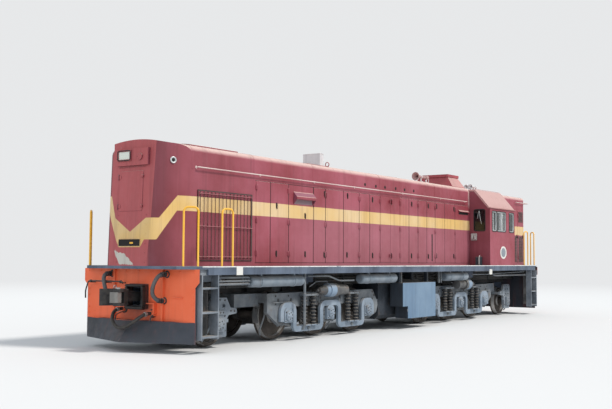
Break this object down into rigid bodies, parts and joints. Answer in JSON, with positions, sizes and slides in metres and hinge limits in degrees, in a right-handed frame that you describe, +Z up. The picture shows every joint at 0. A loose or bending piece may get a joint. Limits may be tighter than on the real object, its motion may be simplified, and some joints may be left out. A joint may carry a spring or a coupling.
{
  "type": "diesel-electric locomotive, narrow gauge, hood type",
  "caption": "Hood-type diesel-electric locomotive with a cab near one end, power bogies led by guiding trucks, knuckle couplers and pilots.",
  "frame": {"origin": "middle of the locomotive at the level of the wheel flanges' lowest point, 28 mm under the rail's top", "axes": "+X forward to the cab end, +Y left, +Z up"},
  "size_m": [16.36, 2.75, 3.88],
  "materials": {
    "frame_grey": "matte, dusty",
    "bogie_grey": "matte, dusty",
    "orange": "faded semi-matte",
    "maroon": "faded semi-matte",
    "maroon_dark": "faded semi-matte",
    "dark_steel": "matte",
    "glass": "clear",
    "control_grey": "semi-matte",
    "seat_vinyl": "worn",
    "engine_grey": "oily matte",
    "box_blue": "matte, dusty",
    "stack_grey": "matte",
    "horn_white": "semi-matte",
    "yellow": "semi-gloss, chipped",
    "rail_white": "semi-matte",
    "cast_black": "oily matte",
    "black_rubber": "matte",
    "wheel_steel": "rusty sides, bright tread"
  },
  "bodies": {
    "locomotive": {"air_reservoirs": "frame_grey", "battery_box": "box_blue", "brake_hose_cab_end": "black_rubber", "brake_hose_long_end": "black_rubber", "cab_body": "maroon", "cab_glazing": "glass", "cab_roof": "maroon", "control_stand": "control_grey", "corner_handrails": "yellow", "crew_seats": "seat_vinyl", "engine_block": "engine_grey", "exhaust_stack": "stack_grey", "fuel_tank": "dark_steel", "headlamps": "maroon", "headstock_cab_end": "orange", "headstock_long_end": "orange", "hood_handrails": "rail_white", "horns": "horn_white", "jumper_cable_left_cab_end": "black_rubber", "jumper_cable_left_long_end": "black_rubber", "jumper_cable_right_cab_end": "black_rubber", "jumper_cable_right_long_end": "black_rubber", "long_hood": "maroon", "roof_hatch": "maroon", "roof_shutters": "dark_steel", "short_hood": "maroon", "side_grilles": "maroon_dark", "side_steps": "frame_grey", "underframe": "frame_grey"},
    "bogie_long_end": {"bogie_frame_long_end": "bogie_grey", "bogie_springing_long_end": "bogie_grey", "axleboxes_long_end": "bogie_grey", "brake_gear_long_end": "bogie_grey", "traction_motors_long_end": "cast_black"},
    "pony_long_end": {"pony_frame_long_end": "bogie_grey"},
    "pony_wheelset_long_end": {"pony_wheelset_long_end": "wheel_steel"},
    "driven_wheelset_1_long_end": {"driven_wheelset_1_long_end": "wheel_steel"},
    "driven_wheelset_2_long_end": {"driven_wheelset_2_long_end": "wheel_steel"},
    "driven_wheelset_3_long_end": {"driven_wheelset_3_long_end": "wheel_steel"},
    "coupler_long_end": {"coupler_long_end": "cast_black"},
    "knuckle_long_end": {"knuckle_long_end": "cast_black"},
    "bogie_cab_end": {"bogie_frame_cab_end": "bogie_grey", "bogie_springing_cab_end": "bogie_grey", "axleboxes_cab_end": "bogie_grey", "brake_gear_cab_end": "bogie_grey", "traction_motors_cab_end": "cast_black"},
    "pony_cab_end": {"pony_frame_cab_end": "bogie_grey"},
    "pony_wheelset_cab_end": {"pony_wheelset_cab_end": "wheel_steel"},
    "driven_wheelset_1_cab_end": {"driven_wheelset_1_cab_end": "wheel_steel"},
    "driven_wheelset_2_cab_end": {"driven_wheelset_2_cab_end": "wheel_steel"},
    "driven_wheelset_3_cab_end": {"driven_wheelset_3_cab_end": "wheel_steel"},
    "coupler_cab_end": {"coupler_cab_end": "cast_black"},
    "knuckle_cab_end": {"knuckle_cab_end": "cast_black"},
    "radiator_fan": {"radiator_fan": "dark_steel"},
    "cab_door_front": {"cab_door_front": "maroon"},
    "cab_door_rear": {"cab_door_rear": "maroon"},
    "engine_door_right_rear": {"engine_door_right_rear": "maroon"},
    "engine_door_right_front": {"engine_door_right_front": "maroon"},
    "engine_door_left_rear": {"engine_door_left_rear": "maroon"},
    "engine_door_left_front": {"engine_door_left_front": "maroon"}
  },
  "joints": [
    {"name": "bogie_long_end_turn", "type": "hinge", "parent": "locomotive", "child": "bogie_long_end", "pos_m": [-3.775, 0, 0.95], "axis": [0, 0, 1], "range_deg": [-3, 3]},
    {"name": "pony_long_end_turn", "type": "hinge", "parent": "bogie_long_end", "child": "pony_long_end", "pos_m": [-5.45, 0, 0.63], "axis": [0, 0, 1], "range_deg": [-4, 4]},
    {"name": "pony_wheelset_long_end_roll", "type": "hinge", "parent": "pony_long_end", "child": "pony_wheelset_long_end", "pos_m": [-6.375, 0, 0.409], "axis": [0, 1, 0], "continuous": true},
    {"name": "driven_wheelset_1_long_end_roll", "type": "hinge", "parent": "bogie_long_end", "child": "driven_wheelset_1_long_end", "pos_m": [-4.5, 0, 0.485], "axis": [0, 1, 0], "continuous": true},
    {"name": "driven_wheelset_2_long_end_roll", "type": "hinge", "parent": "bogie_long_end", "child": "driven_wheelset_2_long_end", "pos_m": [-3.05, 0, 0.485], "axis": [0, 1, 0], "continuous": true},
    {"name": "driven_wheelset_3_long_end_roll", "type": "hinge", "parent": "bogie_long_end", "child": "driven_wheelset_3_long_end", "pos_m": [-1.6, 0, 0.485], "axis": [0, 1, 0], "continuous": true},
    {"name": "coupler_long_end_swing", "type": "hinge", "parent": "locomotive", "child": "coupler_long_end", "pos_m": [-7.13, 0, 0.918], "axis": [0, 0, 1], "range_deg": [-7, 7]},
    {"name": "knuckle_long_end_open", "type": "hinge", "parent": "coupler_long_end", "child": "knuckle_long_end", "pos_m": [-8.07, -0.135, 0.918], "axis": [0, 0, 1], "range_deg": [0, 45]},
    {"name": "bogie_cab_end_turn", "type": "hinge", "parent": "locomotive", "child": "bogie_cab_end", "pos_m": [3.775, 0, 0.95], "axis": [0, 0, 1], "range_deg": [-3, 3]},
    {"name": "pony_cab_end_turn", "type": "hinge", "parent": "bogie_cab_end", "child": "pony_cab_end", "pos_m": [5.45, 0, 0.63], "axis": [0, 0, 1], "range_deg": [-4, 4]},
    {"name": "pony_wheelset_cab_end_roll", "type": "hinge", "parent": "pony_cab_end", "child": "pony_wheelset_cab_end", "pos_m": [6.375, 0, 0.409], "axis": [0, 1, 0], "continuous": true},
    {"name": "driven_wheelset_1_cab_end_roll", "type": "hinge", "parent": "bogie_cab_end", "child": "driven_wheelset_1_cab_end", "pos_m": [4.5, 0, 0.485], "axis": [0, 1, 0], "continuous": true},
    {"name": "driven_wheelset_2_cab_end_roll", "type": "hinge", "parent": "bogie_cab_end", "child": "driven_wheelset_2_cab_end", "pos_m": [3.05, 0, 0.485], "axis": [0, 1, 0], "continuous": true},
    {"name": "driven_wheelset_3_cab_end_roll", "type": "hinge", "parent": "bogie_cab_end", "child": "driven_wheelset_3_cab_end", "pos_m": [1.6, 0, 0.485], "axis": [0, 1, 0], "continuous": true},
    {"name": "coupler_cab_end_swing", "type": "hinge", "parent": "locomotive", "child": "coupler_cab_end", "pos_m": [7.13, 0, 0.918], "axis": [0, 0, 1], "range_deg": [-7, 7]},
    {"name": "knuckle_cab_end_open", "type": "hinge", "parent": "coupler_cab_end", "child": "knuckle_cab_end", "pos_m": [8.07, 0.135, 0.918], "axis": [0, 0, 1], "range_deg": [0, 45]},
    {"name": "radiator_fan_spin", "type": "hinge", "parent": "locomotive", "child": "radiator_fan", "pos_m": [-6.05, 0, 3.44], "axis": [0, 0, 1], "continuous": true},
    {"name": "cab_door_front_swing", "type": "hinge", "parent": "locomotive", "child": "cab_door_front", "pos_m": [4.109, 1.223, 2.2], "axis": [0, 0, -1], "range_deg": [0, 100]},
    {"name": "cab_door_rear_swing", "type": "hinge", "parent": "locomotive", "child": "cab_door_rear", "pos_m": [5.841, -1.263, 2.2], "axis": [0, 0, -1], "range_deg": [0, 100]},
    {"name": "engine_door_right_rear_swing", "type": "hinge", "parent": "locomotive", "child": "engine_door_right_rear", "pos_m": [-0.638, -0.761, 2.27], "axis": [0, 0, -1], "range_deg": [0, 110]},
    {"name": "engine_door_right_front_swing", "type": "hinge", "parent": "locomotive", "child": "engine_door_right_front", "pos_m": [0.248, -0.761, 2.27], "axis": [0, 0, 1], "range_deg": [0, 110]},
    {"name": "engine_door_left_rear_swing", "type": "hinge", "parent": "locomotive", "child": "engine_door_left_rear", "pos_m": [-0.638, 0.761, 2.27], "axis": [0, 0, 1], "range_deg": [0, 110]},
    {"name": "engine_door_left_front_swing", "type": "hinge", "parent": "locomotive", "child": "engine_door_left_front", "pos_m": [0.248, 0.761, 2.27], "axis": [0, 0, -1], "range_deg": [0, 110]}
  ]
}
